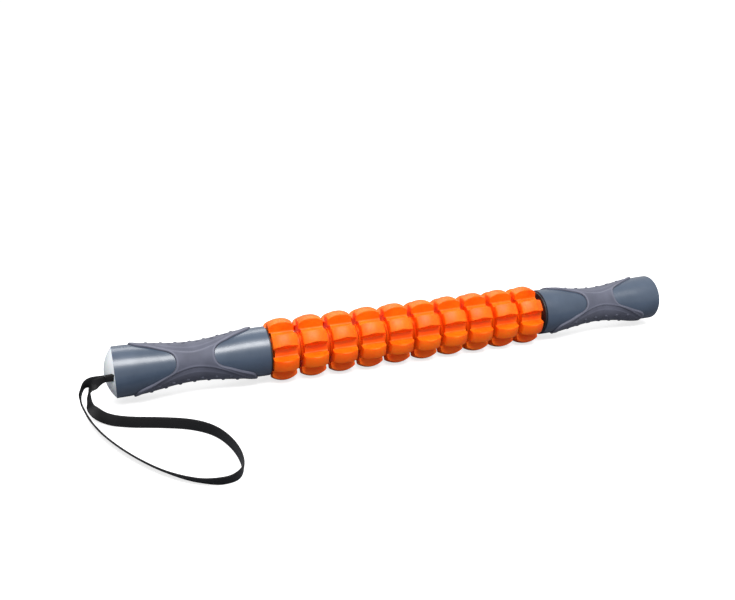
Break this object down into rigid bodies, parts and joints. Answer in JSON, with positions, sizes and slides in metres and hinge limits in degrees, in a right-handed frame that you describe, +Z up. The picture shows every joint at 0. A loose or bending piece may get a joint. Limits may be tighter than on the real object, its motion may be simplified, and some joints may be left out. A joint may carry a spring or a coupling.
{
  "type": "roller massage stick",
  "caption": "Hand-held roller massage stick: fluted orange rollers spin on a steel rod between two hourglass rubber-clad handles, with a wrist strap at one end.",
  "frame": {"origin": "on the floor plane below the middle of the stick, which lies on its rollers; the wrist strap is not counted", "axes": "+X along the rod from the strap end to the plain end, +Z up, -Y towards the side on which the strap lies"},
  "size_m": [0.4088, 0.1366, 0.0394],
  "materials": {
    "roller_plastic": "satin translucent-looking orange moulding",
    "shell_plastic": "slate blue-grey satin moulding",
    "grip_rubber": "matte purple-grey overmoulded rubber with ridges and nubs",
    "cap_plastic": "pale grey-blue moulding",
    "black_plastic": "black nylon",
    "steel": "bright drawn steel",
    "strap_webbing": "woven black flat cord with a slight sheen"
  },
  "bodies": {
    "root": {"core_rod": "steel", "handle_shell_left": "shell_plastic", "grip_overmould_left": "grip_rubber", "thrust_collar_left": "black_plastic", "rod_washer_left": "steel", "rod_nut_left": "steel", "end_cap_left": "cap_plastic", "handle_shell_right": "shell_plastic", "grip_overmould_right": "grip_rubber", "thrust_collar_right": "black_plastic", "rod_washer_right": "steel", "rod_nut_right": "steel", "end_cap_right": "cap_plastic", "strap_tab": "strap_webbing", "strap_retainer": "black_plastic", "wrist_strap": "strap_webbing"},
    "roller_01_body": {"roller_01": "roller_plastic"},
    "roller_02_body": {"roller_02": "roller_plastic"},
    "roller_03_body": {"roller_03": "roller_plastic"},
    "roller_04_body": {"roller_04": "roller_plastic"},
    "roller_05_body": {"roller_05": "roller_plastic"},
    "roller_06_body": {"roller_06": "roller_plastic"},
    "roller_07_body": {"roller_07": "roller_plastic"},
    "roller_08_body": {"roller_08": "roller_plastic"},
    "roller_09_body": {"roller_09": "roller_plastic"},
    "roller_10_body": {"roller_10": "roller_plastic"}
  },
  "joints": [
    {"name": "roller_01_spin", "type": "hinge", "parent": "root", "child": "roller_01_body", "pos_m": [0, 0, 0.01922], "axis": [1, 0, 0], "continuous": true},
    {"name": "roller_02_spin", "type": "hinge", "parent": "root", "child": "roller_02_body", "pos_m": [0, 0, 0.01922], "axis": [1, 0, 0], "continuous": true},
    {"name": "roller_03_spin", "type": "hinge", "parent": "root", "child": "roller_03_body", "pos_m": [0, 0, 0.01922], "axis": [1, 0, 0], "continuous": true},
    {"name": "roller_04_spin", "type": "hinge", "parent": "root", "child": "roller_04_body", "pos_m": [0, 0, 0.01922], "axis": [1, 0, 0], "continuous": true},
    {"name": "roller_05_spin", "type": "hinge", "parent": "root", "child": "roller_05_body", "pos_m": [0, 0, 0.01922], "axis": [1, 0, 0], "continuous": true},
    {"name": "roller_06_spin", "type": "hinge", "parent": "root", "child": "roller_06_body", "pos_m": [0, 0, 0.01922], "axis": [1, 0, 0], "continuous": true},
    {"name": "roller_07_spin", "type": "hinge", "parent": "root", "child": "roller_07_body", "pos_m": [0, 0, 0.01922], "axis": [1, 0, 0], "continuous": true},
    {"name": "roller_08_spin", "type": "hinge", "parent": "root", "child": "roller_08_body", "pos_m": [0, 0, 0.01922], "axis": [1, 0, 0], "continuous": true},
    {"name": "roller_09_spin", "type": "hinge", "parent": "root", "child": "roller_09_body", "pos_m": [0, 0, 0.01922], "axis": [1, 0, 0], "continuous": true},
    {"name": "roller_10_spin", "type": "hinge", "parent": "root", "child": "roller_10_body", "pos_m": [0, 0, 0.01922], "axis": [1, 0, 0], "continuous": true}
  ]
}
